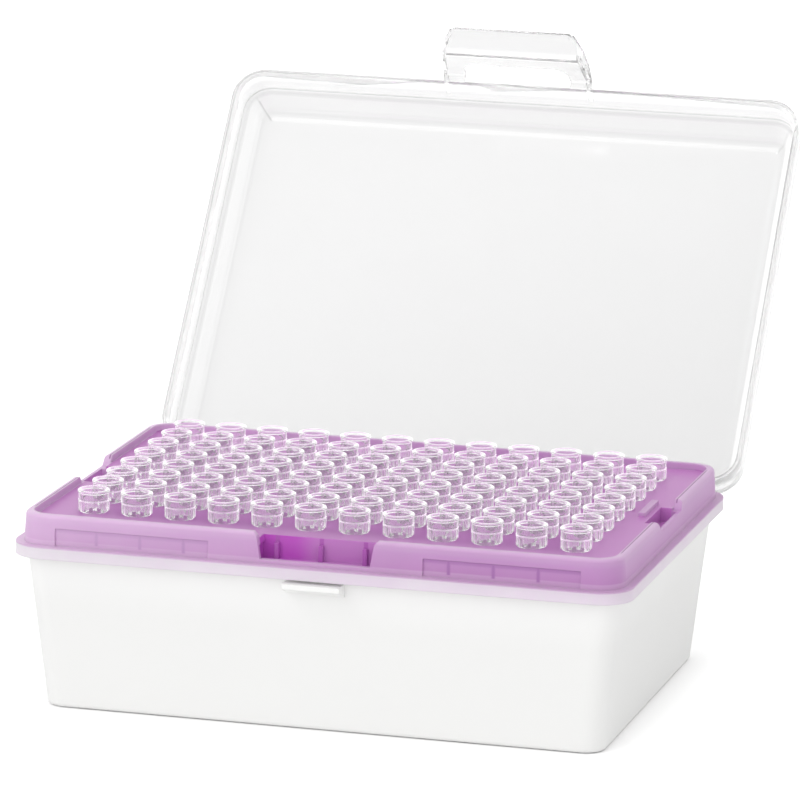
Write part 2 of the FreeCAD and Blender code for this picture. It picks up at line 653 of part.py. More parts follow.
def tip_profile(body):
    """Half section of a hollow tip: lip, collar, shank, slow taper and fine point."""
    seat = PLATE_TOP
    shank = seat - S.shank_length
    waist = TIP_FOOT + S.waist_height
    filter_top = TIP_TOP - S.filter_depth
    filter_foot = filter_top - S.filter_seat
    bore = S.bore_diameter / 2
    narrow = bore - S.bore_draft
    bead = S.lip_diameter / 2
    return profile(body, "section", "XZ", 0, [
        (S.mouth_diameter / 2, TIP_TOP),
        (bead, TIP_TOP),
        (bead, TIP_TOP - S.lip_height),
        (S.collar_diameter / 2, TIP_TOP - S.lip_height),
        (S.collar_diameter / 2, seat + S.collar_chamfer),
        (S.collar_diameter / 2 - S.collar_chamfer, seat),
        (S.shank_diameter / 2, seat),
        (S.shank_diameter / 2, shank),
        (S.waist_diameter / 2, waist),
        (S.point_diameter / 2, TIP_FOOT),
        (S.point_bore / 2, TIP_FOOT),
        (narrow - S.filter_ledge, filter_foot),
        (narrow, filter_foot),
        (narrow, filter_top),
        (bore, TIP_TOP - S.mouth_depth),
        (S.mouth_diameter / 2 - S.mouth_draft, TIP_TOP - S.mouth_depth),
    ])


def column_place(body, index):
    """Stand a column of eight at its place in the grid."""
    across = FIRST_COLUMN + S.tip_pitch * index
    body.Placement = Placement(Vector(across.value, FIRST_ROW.value, 0), Rotation())
    body.setExpression("Placement.Base.x", across.text)
    body.setExpression("Placement.Base.y", FIRST_ROW.text)


def tip_column(index):
    body = new_body("tips_column_%02d" % (index + 1))
    tip = body.newObject("PartDesign::Revolution", body.Name + "_tip")
    tip.Profile = tip_profile(body)
    tip.ReferenceAxis = (origin_plane(body, "Z_Axis"), "")
    tip.Angle = 360
    DOC.recompute()
    repeat(body, "row", tip, (("Y_Axis", S.tip_rows),))
    column_place(body, index)
    return body


def filter_column(index):
    body = new_body("filters_column_%02d" % (index + 1))
    width = S.bore_diameter - (S.bore_draft + S.filter_gap) * 2
    outline = circle(body, "outline", "XY", TIP_TOP - S.filter_depth - S.filter_seat,
                     0, 0, width)
    plug = pad(body, "plug", outline, S.filter_length)
    repeat(body, "row", plug, (("Y_Axis", S.tip_rows),))
    column_place(body, index)
    return body


# ---- lid, drawn closed and then turned open about its hinges ----

def lid():
    body = new_body("lid")
    latch(body)
    knuckles(body)
    shoulder = LID_RIM + S.shoulder_height
    top = LID_RIM + S.lid_height
    crown_inset = S.skirt_lean + S.shoulder_step
    crown_height = S.lid_height - S.shoulder_height
    taper(lid_block(body, "Pad", "skirt", LID_RIM, 0, S.outline_corner, S.shoulder_height),
          -S.skirt_lean, S.shoulder_height)
    taper(lid_block(body, "Pad", "crown", shoulder, crown_inset, S.crown_corner, crown_height),
          -S.crown_lean, crown_height)
    fillet(body, "crown_round", S.crown_round, lambda edge: flat_at(edge, top))
    low = S.shoulder_height - S.shoulder_ledge
    taper(lid_block(body, "Pocket", "skirt_inside", LID_RIM, S.lid_wall,
                    S.outline_corner - S.lid_wall, low),
          -S.skirt_lean * low / S.shoulder_height, low)
    high = crown_height + S.shoulder_ledge - S.lid_wall
    ledge = S.crown_lean * S.shoulder_ledge / crown_height
    taper(lid_block(body, "Pocket", "crown_inside", shoulder - S.shoulder_ledge,
                    crown_inset + S.lid_wall - ledge, S.crown_corner - S.lid_wall + ledge, high),
          -S.crown_lean * high / crown_height, high)
    fillet(body, "inner_round", S.crown_round - S.lid_wall,
           lambda edge: flat_at(edge, top - S.lid_wall))
    turn_open(body)
    return body


def lid_block(body, kind, name, height, inset, corner, length):
    """A block, or a hollow when the kind is a pocket, inside the lid's outline."""
    inset = as_size(inset)
    outline = rounded_rectangle(body, name + "_outline", "XY", height, WIDTH - inset * 2,
                                DEPTH - inset * 2, corner)
    return extrude(body, kind, name, outline, length, back=(kind == "Pocket"))


def latch(body):
    """Two ribbed arms and a cross bar that hang from the lid's front and flare into a pull."""
    front = -BACK
    root = front + S.lid_wall / 2
    face = front - S.catch_reach - S.latch_gap
    bend = LID_RIM - S.latch_bend
    tip = LID_RIM - S.latch_length
    out = face - S.latch_flare
    drop = S.latch_length - S.latch_bend
    side = profile(body, "arm_outline", "YZ", 0, [
        (root, LID_RIM + S.latch_root), (front, LID_RIM + S.latch_root),
        (front - S.latch_arm, LID_RIM), (front - S.latch_rib, LID_RIM - S.window_drop),
        (front - S.latch_rib - S.latch_plate, bend),
        (out + S.latch_plate / 2, tip + S.latch_plate), (out, tip),
        (face, bend), (face, LID_RIM), (root, LID_RIM)])
    pad(body, "arms", side, S.latch_width, both=True)
    half = S.latch_width / 2
    past = half + S.latch_taper
    high = LID_RIM - S.window_drop / 2
    below = tip - S.latch_plate
    edge = half - S.latch_taper
    # the plate leans, so seen from the front the round corners are half as high as wide
    rise = S.latch_corner / 2
    bulge = as_size(1) - cosine(as_size(45))
    trim = profile(body, "trim_outline", "XZ", -root, [
        (half, high), (edge, tip + rise), (edge - S.latch_corner * bulge, tip + rise * bulge),
        (edge - S.latch_corner, tip), (edge - S.latch_corner, below), (past, below),
        (past, high)])
    trim = pocket(body, "trim", trim, S.latch_flare * 2, back=True)
    mirror_left(body, "left_trim", [trim])
    # the hollow between the side ribs leaves the plate, which bends forwards below the bar
    plate = face - S.latch_plate
    slope = drop / S.latch_flare
    corner = bend + S.bend_rise
    beyond = out - S.cut_past
    above = LID_RIM + S.latch_root + S.cut_past
    scoop = profile(body, "scoop_outline", "YZ", 0, [
        (plate, above), (plate, corner), (beyond, corner - (plate - beyond) * slope),
        (beyond, above)])
    pocket(body, "scoop", scoop, S.window_width + S.window_border * 2, both=True)
    # above the rim only a narrow foot is left at each side
    inside = half - S.latch_foot
    gap = profile(body, "foot_gap_outline", "XZ", -root, [
        (-inside, LID_RIM), (inside, LID_RIM), (inside, above), (-inside, above)])
    pocket(body, "foot_gap", gap, S.latch_flare * 2, back=True)
    window_foot = LID_RIM - S.window_drop
    window = rounded_rectangle(body, "window_outline", "XZ", -root,
                               S.window_width, above - window_foot, S.window_corner,
                               (above + window_foot) / 2)
    pocket(body, "window", window, S.latch_flare * 2, back=True)


def knuckles(body):
    """A pin, a knuckle on an arm, and a heel that bears on the stop plate when the lid is open."""
    start = S.hinge_spread - S.knuckle_width / 2
    barrel = circle(body, "knuckle_outline", "YZ", start, HINGE_Y, HINGE_Z, S.knuckle_radius * 2)
    barrel = pad(body, "knuckle", barrel, S.knuckle_width)
    root = BACK - S.lid_wall / 2
    side = S.knuckle_radius * cosine(S.knuckle_turn)
    rise = HINGE_Z + S.knuckle_radius * sine(S.knuckle_turn)
    high = LID_RIM + S.knuckle_root
    arm = profile(body, "knuckle_arm_outline", "YZ", start, [
        (root, LID_RIM + S.knuckle_gap), (HINGE_Y - side, rise), (HINGE_Y, HINGE_Z),
        (HINGE_Y + side, rise), (BACK + S.knuckle_arm, high), (root, high)])
    arm = pad(body, "knuckle_arm", arm, S.knuckle_width)
    # the heel lies flat on the stop plate in the open lid, so it is drawn turned back by the opening
    turn_y = cosine(S.open_angle)
    turn_z = sine(S.open_angle)
    corners = []
    for back, drop in ((as_size(0), as_size(0)), (as_size(0), S.heel_reach),
                       (S.heel_length, S.heel_reach), (S.heel_length, S.heel_tail)):
        corners.append((HINGE_Y + back * turn_y + drop * turn_z,
                        HINGE_Z + back * turn_z - drop * turn_y))
    heel = profile(body, "heel_outline", "YZ", start, corners)
    heel = pad(body, "heel", heel, S.knuckle_width)
    pin = circle(body, "pin_outline", "YZ", S.hinge_spread - LUG_WIDTH / 2, HINGE_Y, HINGE_Z,
                 S.pin_diameter)
    pin = pad(body, "pin", pin, LUG_WIDTH)
    mirror_left(body, "left_knuckle", [barrel, arm, heel, pin])


def turn_open(body):
    """Turn the closed lid back about the hinge axis until its heels rest on the stops."""
    turn = Rotation(Vector(1, 0, 0), -S.open_angle.value)
    body.Placement = Placement(Vector(0, 0, 0), turn, Vector(0, HINGE_Y.value, HINGE_Z.value))
    across = cosine(S.open_angle)
    up = sine(S.open_angle)
    body.setExpression("Placement.Base.y", (HINGE_Y - HINGE_Y * across - HINGE_Z * up).text)
    body.setExpression("Placement.Base.z", (HINGE_Z + HINGE_Y * up - HINGE_Z * across).text)
    body.setExpression("Placement.Rotation.Angle", (-S.open_angle).text)


def build():
    pieces = [tray(), rack(), lid()]
    for index in range(int(S.tip_columns.value)):
        pieces.append(tip_column(index))
        pieces.append(filter_column(index))
    DOC.recompute()
    return pieces


def check(pieces):
    for item in DOC.Objects:
        if "Invalid" in item.State or "Error" in item.State:
            raise RuntimeError("%s failed: %s" % (item.Name, item.State))
    for piece in pieces:
        if piece.Shape.isNull() or not piece.Shape.isValid():
            raise RuntimeError("%s has no sound shape" % piece.Label)


def write(pieces):
    os.makedirs("parts", exist_ok=True)
    for piece in pieces:
        piece.Shape.exportStep(os.path.join("parts", piece.Label + ".step"))
        print(piece.Label, len(piece.Shape.Solids), "solids", round(piece.Shape.Volume), "mm3")


PIECES = build()
check(PIECES)
write(PIECES)
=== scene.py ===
import bpy
import bmesh
import math
from mathutils import Matrix, Vector


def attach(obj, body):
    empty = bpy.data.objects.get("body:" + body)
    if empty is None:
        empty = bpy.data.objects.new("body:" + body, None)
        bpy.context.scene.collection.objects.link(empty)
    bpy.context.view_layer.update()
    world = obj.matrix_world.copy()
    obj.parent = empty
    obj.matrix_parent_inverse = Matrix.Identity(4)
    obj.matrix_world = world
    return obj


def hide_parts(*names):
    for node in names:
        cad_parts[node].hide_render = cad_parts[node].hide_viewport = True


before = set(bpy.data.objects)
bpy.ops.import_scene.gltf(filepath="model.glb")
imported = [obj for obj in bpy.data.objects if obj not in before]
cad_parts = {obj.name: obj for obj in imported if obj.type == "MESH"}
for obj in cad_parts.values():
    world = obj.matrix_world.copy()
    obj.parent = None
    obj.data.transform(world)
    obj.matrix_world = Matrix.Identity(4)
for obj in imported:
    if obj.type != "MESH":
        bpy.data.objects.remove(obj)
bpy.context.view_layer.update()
print("frame loaded")

# pieces are drawn in mm and turned to metres when they are finished
mm = 0.001
allAround = 2 * math.pi
weld = 0.002  # points closer than this become one
smoothBelow = 32  # degrees

# the lid is drawn closed and turned back about its hinges
hinge = {"y": 48.1, "z": 33.0, "open": 128.7}


def smoothed(mesh):
    mesh.polygons.foreach_set("use_smooth", [True] * len(mesh.polygons))
    mesh.set_sharp_from_angle(angle=math.radians(smoothBelow))
    mesh.update()


def meshFrom(bm, name):
    bmesh.ops.remove_doubles(bm, verts=bm.verts, dist=weld)
    bmesh.ops.recalc_face_normals(bm, faces=bm.faces)
    mesh = bpy.data.meshes.new(name)
    bm.to_mesh(mesh)
    bm.free()
    return mesh


def plainMesh(bm, name):
    mesh = bpy.data.meshes.new(name)
    bm.to_mesh(mesh)
    bm.free()
    return mesh


def objectFrom(mesh, name):
    piece = bpy.data.objects.new(name, mesh)
    bpy.context.scene.collection.objects.link(piece)
    return piece


def evaluatedMesh(piece):
    return bpy.data.meshes.new_from_object(
        piece.evaluated_get(bpy.context.evaluated_depsgraph_get()))


def ofKind(items, kind):
    return [item for item in items if isinstance(item, kind)]


def prism(points, start, end):
    # a side view as (y, z) points, drawn out from x = start to x = end
    bm = bmesh.new()
    outline = bm.faces.new([bm.verts.new((start, y, z)) for y, z in points])
    grown = bmesh.ops.extrude_face_region(bm, geom=[outline])["geom"]
    bmesh.ops.translate(bm, verts=ofKind(grown, bmesh.types.BMVert), vec=(end - start, 0, 0))
    bmesh.ops.recalc_face_normals(bm, faces=bm.faces)
    return bm


def rod(radius, start, end, y, z, steps):
    bm = bmesh.new()
    turn = Matrix.Translation(((start + end) / 2, y, z)) @ Matrix.Rotation(math.pi / 2, 4, "Y")
    bmesh.ops.create_cone(bm, cap_ends=True, segments=steps, radius1=radius, radius2=radius,
                          depth=abs(end - start), matrix=turn)
    return bm


def softenEdges(bm, edges, size, segments=2):
    if edges:
        bmesh.ops.bevel(bm, geom=edges, offset=size, offset_type="OFFSET", segments=segments,
                        profile=0.5, affect="EDGES", clamp_overlap=True, material=-1)


def sharpEdges(bm, angle):
    limit = math.radians(angle)
    return [e for e in bm.edges if len(e.link_faces) == 2 and e.calc_face_angle(0) > limit]


def joined(name, first, others, operation):
    # solid union or difference of meshes, made once and kept as a plain mesh
    base = objectFrom(first, name)
    tools = [objectFrom(mesh, name + "_part") for mesh in others]
    for tool in tools:
        step = base.modifiers.new("join", "BOOLEAN")
        step.object = tool
        step.operation = operation
        step.solver = "EXACT"
    result = evaluatedMesh(base)
    for item in [base] + tools:
        bpy.data.objects.remove(item)
    result.name = name
    return result


def finishPiece(mesh, name, material, body, nodes, turn=None):
    if turn is not None:
        mesh.transform(turn)
    mesh.transform(Matrix.Scale(mm, 4))
    mesh.materials.clear()
    mesh.materials.append(material)
    smoothed(mesh)
    piece = objectFrom(mesh, name)
    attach(piece, body)
    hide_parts(*nodes)


# node helpers: each works on one node tree, and a term is a socket or a plain value

def node(tree, kind, **settings):
    made = tree.nodes.new("ShaderNode" + kind)
    for name, value in settings.items():
        setattr(made, name, value)
    return made


def feed(tree, socket, term):
    if isinstance(term, bpy.types.NodeSocket):
        tree.links.new(term, socket)
    else:
        socket.default_value = term


def maths(tree, operation, *terms):
    made = node(tree, "Math", operation=operation)
    for slot, term in enumerate(terms):
        feed(tree, made.inputs[slot], term)
    return made.outputs[0]


def product(tree, first, *others):
    for term in others:
        first = maths(tree, "MULTIPLY", first, term)
    return first


def above(tree, value, edge, soft=0.05):
    # 0 below the edge and 1 above it, with a soft step in mm
    made = node(tree, "MapRange", interpolation_type="SMOOTHSTEP")
    feed(tree, made.inputs["Value"], value)
    made.inputs["From Min"].default_value = edge - soft
    made.inputs["From Max"].default_value = edge + soft
    return made.outputs["Result"]


def below(tree, value, edge, soft=0.05):
    return maths(tree, "SUBTRACT", 1, above(tree, value, edge, soft))


def around(tree, value, middle, half, soft):
    # 1 in a band about the middle and 0 outside it
    off = maths(tree, "ABSOLUTE", maths(tree, "SUBTRACT", value, middle))
    return below(tree, off, half, soft)


def blend(tree, amount, first, second):
    made = node(tree, "Mix", data_type="RGBA")
    feed(tree, made.inputs["Factor"], amount)
    feed(tree, made.inputs["A"], first)
    feed(tree, made.inputs["B"], second)
    return made.outputs["Result"]


def placeInMm(tree, closed=False):
    # x, y and z of the shaded point, as it stands or as it would with the lid closed
    spot = node(tree, "TexCoord").outputs["Object"]
    if closed:
        turn = node(tree, "VectorRotate", rotation_type="X_AXIS")
        turn.inputs["Center"].default_value = (0, hinge["y"] * mm, hinge["z"] * mm)
        turn.inputs["Angle"].default_value = math.radians(hinge["open"])
        feed(tree, turn.inputs["Vector"], spot)
        spot = turn.outputs[0]
    split = node(tree, "SeparateXYZ")
    feed(tree, split.inputs[0], spot)
    return [maths(tree, "DIVIDE", split.outputs[axis], mm) for axis in "XYZ"]


def addSockets(group, inOut, kinds):
    for name, kind in kinds.items():
        group.interface.new_socket(name=name, in_out=inOut, socket_type="NodeSocket" + kind)


def makeMouldedSkin():
    # what every moulded piece shares: fine skin, slow flow marks and a gloss that drifts with them
    group = bpy.data.node_groups.new("mouldedSkin", "ShaderNodeTree")
    addSockets(group, "INPUT", {"Colour": "Color", "Flow Colour": "Color", "Flow Amount": "Float",
                                "Flow Scale": "Float", "Skin Scale": "Float",
                                "Roughness": "Float", "Gloss Drift": "Float"})
    addSockets(group, "OUTPUT", {"Colour": "Color", "Roughness": "Float", "Height": "Float"})
    given = group.nodes.new("NodeGroupInput").outputs
    result = group.nodes.new("NodeGroupOutput").inputs
    spot = node(group, "TexCoord").outputs["Object"]
    flow = node(group, "TexNoise")
    flow.inputs["Detail"].default_value = 3
    flow.inputs["Distortion"].default_value = 0.6
    skin = node(group, "TexNoise")
    skin.inputs["Detail"].default_value = 4
    skin.inputs["Roughness"].default_value = 0.6
    for noise, scale in ((flow, "Flow Scale"), (skin, "Skin Scale")):
        feed(group, noise.inputs["Vector"], spot)
        feed(group, noise.inputs["Scale"], given[scale])
    amount = product(group, flow.outputs["Fac"], given["Flow Amount"])
    feed(group, result["Colour"], blend(group, amount, given["Colour"], given["Flow Colour"]))
    drift = maths(group, "SUBTRACT", flow.outputs["Fac"], 0.5)
    feed(group, result["Roughness"],
         maths(group, "MULTIPLY_ADD", drift, given["Gloss Drift"], given["Roughness"]))
    feed(group, result["Height"], skin.outputs["Fac"])
    return group


mouldedSkin = makeMouldedSkin()


def letLightThrough(material, density):
    # shadows of clear plastic are faint: only shadow rays see the lower alpha
    tree = material.node_tree
    shadow = node(tree, "LightPath").outputs["Is Shadow Ray"]
    feed(tree, tree.nodes["Principled BSDF"].inputs["Alpha"],
         maths(tree, "MULTIPLY_ADD", shadow, density - 1, 1))


def plastic(name, values):
    material = bpy.data.materials.new(name)
    material.use_nodes = True
    tree = material.node_tree
    shader = tree.nodes["Principled BSDF"]
    skin = node(tree, "Group", node_tree=mouldedSkin, name="skin")
    for socket, value in values["skin"].items():
        skin.inputs[socket].default_value = value
    bump = node(tree, "Bump")
    bump.inputs["Strength"].default_value = values["bumpStrength"]
    bump.inputs["Distance"].default_value = values["bumpDistance"]
    feed(tree, bump.inputs["Height"], skin.outputs["Height"])
    feed(tree, shader.inputs["Base Color"], skin.outputs["Colour"])
    feed(tree, shader.inputs["Roughness"], skin.outputs["Roughness"])
    feed(tree, shader.inputs["Normal"], bump.outputs["Normal"])
    for socket, value in values["shader"].items():
        shader.inputs[socket].default_value = value
    if "edgeRadius" in values:
        # moulded edges catch a line of light
        soft = node(tree, "Bevel", samples=4)
        soft.inputs["Radius"].default_value = values["edgeRadius"]
        feed(tree, bump.inputs["Normal"], soft.outputs[0])
    if "shadow" in values:
        letLightThrough(material, values["shadow"])
    return material


def paintGlowAtEdges(material, paintedGlow, added=None, kept=None):
    # painted light: the clear plastic is made to glow for the camera where the surface turns away
    # and at the rings, a painted highlight, each ring with its middle height, half its own height
    # and its glow; kept is where the surfaces that turn away may glow at all
    tree = material.node_tree
    facing = node(tree, "LayerWeight")
    facing.inputs["Blend"].default_value = 0.5
    rise = maths(tree, "POWER", facing.outputs["Facing"], paintedGlow["power"])
    if kept is not None:
        rise = product(tree, rise, kept)
    light = maths(tree, "MULTIPLY_ADD", rise, paintedGlow["most"] - paintedGlow["least"], paintedGlow["least"])
    for height, half, extra in paintedGlow["rings"]:
        ring = around(tree, placeInMm(tree)[2], height, half, paintedGlow["ringSoft"])
        light = maths(tree, "MULTIPLY_ADD", ring, extra, light)
    if added is not None:
        light = maths(tree, "ADD", light, added)
    light = product(tree, light, node(tree, "LightPath").outputs["Is Camera Ray"])
    grey = node(tree, "CombineColor")
    for channel in ("Red", "Green", "Blue"):
        feed(tree, grey.inputs[channel], light)
    feed(tree, tree.nodes["Principled BSDF"].inputs["Emission Color"], grey.outputs[0])


# the tray and the rack are rigid solids that keep their own shape

trayFinish = {
    "skin": {"Colour": (0.91, 0.91, 0.9, 1), "Flow Colour": (0.89, 0.89, 0.88, 1),
             "Flow Amount": 0.6, "Flow Scale": 30, "Skin Scale": 2600, "Roughness": 0.42,
             "Gloss Drift": 0.12},
    "bumpStrength": 0.25, "bumpDistance": 0.00004, "edgeRadius": 0.0003,
    "shader": {"IOR": 1.49, "Subsurface Weight": 0.15, "Subsurface Radius": (1, 1, 1),
               "Subsurface Scale": 0.001},
    # painted light: the colour painted towards the top of the tray's wall
    "paintedLight": (0.99, 0.99, 0.98, 1), "paintedLightMiddle": 25.5, "paintedLightReach": 5.5,
}
rackFinish = {
    "skin": {"Colour": (0.56, 0.31, 0.57, 1), "Flow Colour": (0.48, 0.24, 0.52, 1),
             "Flow Amount": 0.25, "Flow Scale": 45, "Skin Scale": 2600, "Roughness": 0.33,
             "Gloss Drift": 0.12},
    "bumpStrength": 0.25, "bumpDistance": 0.00004, "edgeRadius": 0.0003, "shadow": 0.45,
    "shader": {"IOR": 1.45, "Transmission Weight": 0.15, "Specular IOR Level": 0.3,
               "Subsurface Weight": 0.3, "Subsurface Radius": (1, 0.6, 1),
               "Subsurface Scale": 0.0015},
}
# heights and places in mm, seen from the middle of the box
tint = {
    "bottom": 31.0, "top": 40.5,
    # painted light in the crease above the flange and painted highlights at the ledge's edge and
    # the rim's top; the pale skirt is thin plastic over the white tray
    "bands": ((31.0, (0.95, 0.87, 0.96)), (33.6, (0.93, 0.84, 0.94)),
              (33.85, (0.72, 0.5, 0.72)), (34.3, (0.7, 0.44, 0.7)),
              (34.95, (0.72, 0.47, 0.73)), (35.2, (0.62, 0.32, 0.63)),
              (38.2, (0.65, 0.36, 0.67)), (38.9, (0.68, 0.42, 0.7)), (39.6, (0.7, 0.44, 0.71)),
              (40.1, (0.79, 0.57, 0.8))),
    # painted light: the wall and the skirt paler towards the left
    "leftMiddle": -22, "leftReach": 60, "leftPaintedLightMost": 0.55, "skirtTop": 33.75,
    "leftSkirtPaintedLight": (1, 0.98, 1, 1), "leftWallPaintedLight": (1, 0.78, 1, 1),
    # painted shadow along the inner edge of each side's rim
    "rimInner": 59.9, "rimInnerHalf": 0.14, "rimInnerFoot": 39.4, "rimInnerEnd": 37.0,
    "rimInnerShade": (0.36, 0.16, 0.36, 1),
    # painted shade on the plate among the tips
    "tipFieldShade": (0.54, 0.16, 0.55, 1), "fieldX": 51.5, "fieldY": 34.5, "fieldSoft": 3,
    "insideX": 59.3, "insideY": 41.9, "plateTop": 38.62, "insideTop": 38.92,
    # painted shade in the hollows below the plate, deeper on the notch's left
    "plate": (0.65, 0.27, 0.65, 1), "hollowShade": (0.62, 0.1, 0.64, 1), "paleHollowShade": (0.65, 0.26, 0.66, 1),
    "palerMiddle": -3.0, "palerReach": 3.0,
    "rib": (0.52, 0.13, 0.54, 1), "ribHalf": 0.45, "ribSoft": 0.15,
    "web": (0.47, 0.21, 0.52, 1), "pitch": 9.0, "webHalf": 0.32, "webSoft": 0.25,
    "webNear": 25.0, "webFar": 47.0, "webTop": 37.3, "webFoot": 34.6, "webFace": 43.0,
    "webEnds": 0.15, "panelNear": 21.9, "panelFar": 53.5, "panelTop": 37.5, "panelEnds": 0.1,
    # painted shade under the top edge of each panel
    "shadeFoot": 36.75, "shadeSoft": 0.25, "shadeMost": 0.6,
}


def heightRamp(tree, z):
    # the rack's colour by height, from its pale skirt up to its rim, with painted light in the
    # crease above the flange and painted highlights along the ledge's edge and the rim's top
    height = node(tree, "MapRange")
    feed(tree, height.inputs["Value"], z)
    height.inputs["From Min"].default_value = tint["bottom"]
    height.inputs["From Max"].default_value = tint["top"]
    ramp = node(tree, "ValToRGB")
    feed(tree, ramp.inputs["Fac"], height.outputs["Result"])
    stops = ramp.color_ramp.elements
    while len(stops) < len(tint["bands"]):
        stops.new(1)
    for stop, (level, colour) in zip(stops, tint["bands"]):
        stop.position = (level - tint["bottom"]) / (tint["top"] - tint["bottom"])
        stop.color = colour + (1,)
    return ramp.outputs["Color"]


def makeRackTint():
    # tinted plastic is pale where it is thin over the white tray; painted shade deepens it where
    # light is trapped, and painted light and highlights lie on its wall
    tree = bpy.data.node_groups.new("rackTint", "ShaderNodeTree")
    addSockets(tree, "OUTPUT", {"Colour": "Color"})
    result = tree.nodes.new("NodeGroupOutput").inputs
    side, depth, z = placeInMm(tree)
    x, y = maths(tree, "ABSOLUTE", side), maths(tree, "ABSOLUTE", depth)
    nearest = maths(tree, "PINGPONG", x, tint["pitch"] / 2)  # 0 on each multiple of the pitch
    # webs behind the sunk panels
    ends, edge = tint["webEnds"], tint["panelEnds"]
    web = product(tree, below(tree, nearest, tint["webHalf"], tint["webSoft"]),
                  above(tree, x, tint["webNear"], ends), below(tree, x, tint["webFar"], ends),
                  above(tree, z, tint["webFoot"], ends), below(tree, z, tint["webTop"], ends),
                  above(tree, y, tint["webFace"], ends))
    # painted shade: light is lost under the top edge of each panel, painted in the web colour
    shade = product(tree, above(tree, z, tint["shadeFoot"], tint["shadeSoft"]),
                    below(tree, z, tint["panelTop"], edge),
                    above(tree, x, tint["panelNear"], edge),
                    below(tree, x, tint["panelFar"], edge),
                    above(tree, y, tint["webFace"], edge), tint["shadeMost"])
    outside = blend(tree, maths(tree, "MAXIMUM", web, shade), heightRamp(tree, z), tint["web"])
    # painted light: the wall and the skirt are painted paler towards the left
    paintedLightLeft = product(tree, below(tree, side, tint["leftMiddle"], tint["leftReach"]),
                   tint["leftPaintedLightMost"])
    paintedLight = blend(tree, above(tree, z, tint["skirtTop"], 0.1), tint["leftSkirtPaintedLight"], tint["leftWallPaintedLight"])
    outside = blend(tree, paintedLightLeft, outside, paintedLight)
    # painted shadow: a fine dark line along the inner edge of each side's rim
    line = product(tree, around(tree, x, tint["rimInner"], tint["rimInnerHalf"], 0.08),
                   above(tree, z, tint["rimInnerFoot"], 0.1),
                   below(tree, y, tint["rimInnerEnd"], 1))
    outside = blend(tree, line, outside, tint["rimInnerShade"])
    # painted shade in the hollows below the plate, deeper on the notch's left; the notch's ribs
    # are drawn darker, on the same pitch as the webs
    hollowShade = blend(tree, above(tree, side, tint["palerMiddle"], tint["palerReach"]), tint["hollowShade"],
                 tint["paleHollowShade"])
    hollowShade = blend(tree, below(tree, nearest, tint["ribHalf"], tint["ribSoft"]), hollowShade, tint["rib"])
    # painted shade: the plate is deeper among the tips than along its edges
    border = maths(tree, "MAXIMUM", above(tree, x, tint["fieldX"], tint["fieldSoft"]),
                   above(tree, y, tint["fieldY"], tint["fieldSoft"]))
    plate = blend(tree, border, tint["tipFieldShade"], tint["plate"])
    inside = blend(tree, above(tree, z, tint["plateTop"]), hollowShade, plate)
    within = product(tree, below(tree, x, tint["insideX"]), below(tree, y, tint["insideY"]),
                     below(tree, z, tint["insideTop"]))
    feed(tree, result["Colour"], blend(tree, within, outside, inside))
    return tree


def tintRack(material):
    # the skin's slow marks are kept as a shade over the tint
    tree = material.node_tree
    colour = node(tree, "Group", node_tree=makeRackTint())
    feed(tree, tree.nodes["skin"].inputs["Colour"], colour.outputs["Colour"])


def paintLightUpTop(material, values):
    # painted light: the wall is painted a shade paler towards the rim, standing in for light that
    # comes down through the rack into the shade under its flange
    tree = material.node_tree
    colour = tree.nodes["skin"].inputs["Colour"]
    rise = above(tree, placeInMm(tree)[2], values["paintedLightMiddle"], values["paintedLightReach"])
    feed(tree, colour, blend(tree, rise, tuple(colour.default_value), values["paintedLight"]))


def dress(name, material):
    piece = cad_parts[name]
    for slot in piece.material_slots:
        slot.material = material
    if not piece.material_slots:
        piece.data.materials.append(material)


trayPlastic = plastic("trayPlastic", trayFinish)
paintLightUpTop(trayPlastic, trayFinish)
rackPlastic = plastic("rackPlastic", rackFinish)
tintRack(rackPlastic)
dress("base_tray", trayPlastic)
dress("tip_rack", rackPlastic)
print("tray and rack dressed")


# the tips, and the filters in them, which keep their own shape

tip = {
    "columns": 12, "rows": 8, "pitch": 9.0, "steps": 24, "top": 43.2, "plate": 38.7,
    "seatGap": 0.03, "lip": 3.2, "lipHeight": 0.5, "lipStep": 0.16, "lipEdge": 0.14,
    "collar": 3.03, "collarTaper": 0.05, "collarEdge": 0.22, "bead": 3.14, "beadHalf": 0.12,
    "beadDrop": 2.1, "ribRise": 0.11, "ribTop": 40.75, "ribFoot": 39.0, "shank": 2.55,
    "shankFoot": 33.7, "waist": 1.5, "waistHeight": 23.2, "point": 0.45, "pointBore": 0.2,
    "foot": 11.2, "mouth": 2.6, "mouthDrop": 0.12, "mouthEdge": 0.1, "seat": 2.45,
    "seatDrop": 2.0, "seatRise": 0.08, "seatFall": 0.05, "seatEdge": 0.04, "bore": 2.1,
    "narrow": 1.75, "filterTop": 34.0, "filterFoot": 30.0, "ledge": 1.6,
}
tipFinish = {
    "skin": {"Colour": (1, 1, 1, 1), "Flow Colour": (0.97, 0.97, 0.975, 1),
             "Flow Amount": 0.5, "Flow Scale": 160, "Skin Scale": 2600, "Roughness": 0.05,
             "Gloss Drift": 0.05},
    "bumpStrength": 0.12, "bumpDistance": 0.00002, "shadow": 0.1,
    "shader": {"IOR": 1.36, "Transmission Weight": 0.97, "Emission Strength": 1.0},
    # painted light: the tips glow for the camera at turned-away edges, with painted highlights on
    # the lip and the bead
    "paintedGlow": {"least": 0.075, "most": 0.8, "power": 2.2, "ringSoft": 0.08,
             "rings": ((43.3, 0.35, 0.25), (41.1, 0.17, 0.22))},
}

filterFinish = {
    "skin": {"Colour": (0.86, 0.86, 0.85, 1), "Flow Colour": (0.74, 0.74, 0.74, 1),
             "Flow Amount": 0.8, "Flow Scale": 900, "Skin Scale": 5200, "Roughness": 0.85,
             "Gloss Drift": 0.1},
    "bumpStrength": 0.9, "bumpDistance": 0.00012,
    "shader": {"IOR": 1.45, "Subsurface Weight": 0.2, "Subsurface Radius": (1, 1, 1),
               "Subsurface Scale": 0.0006},
}


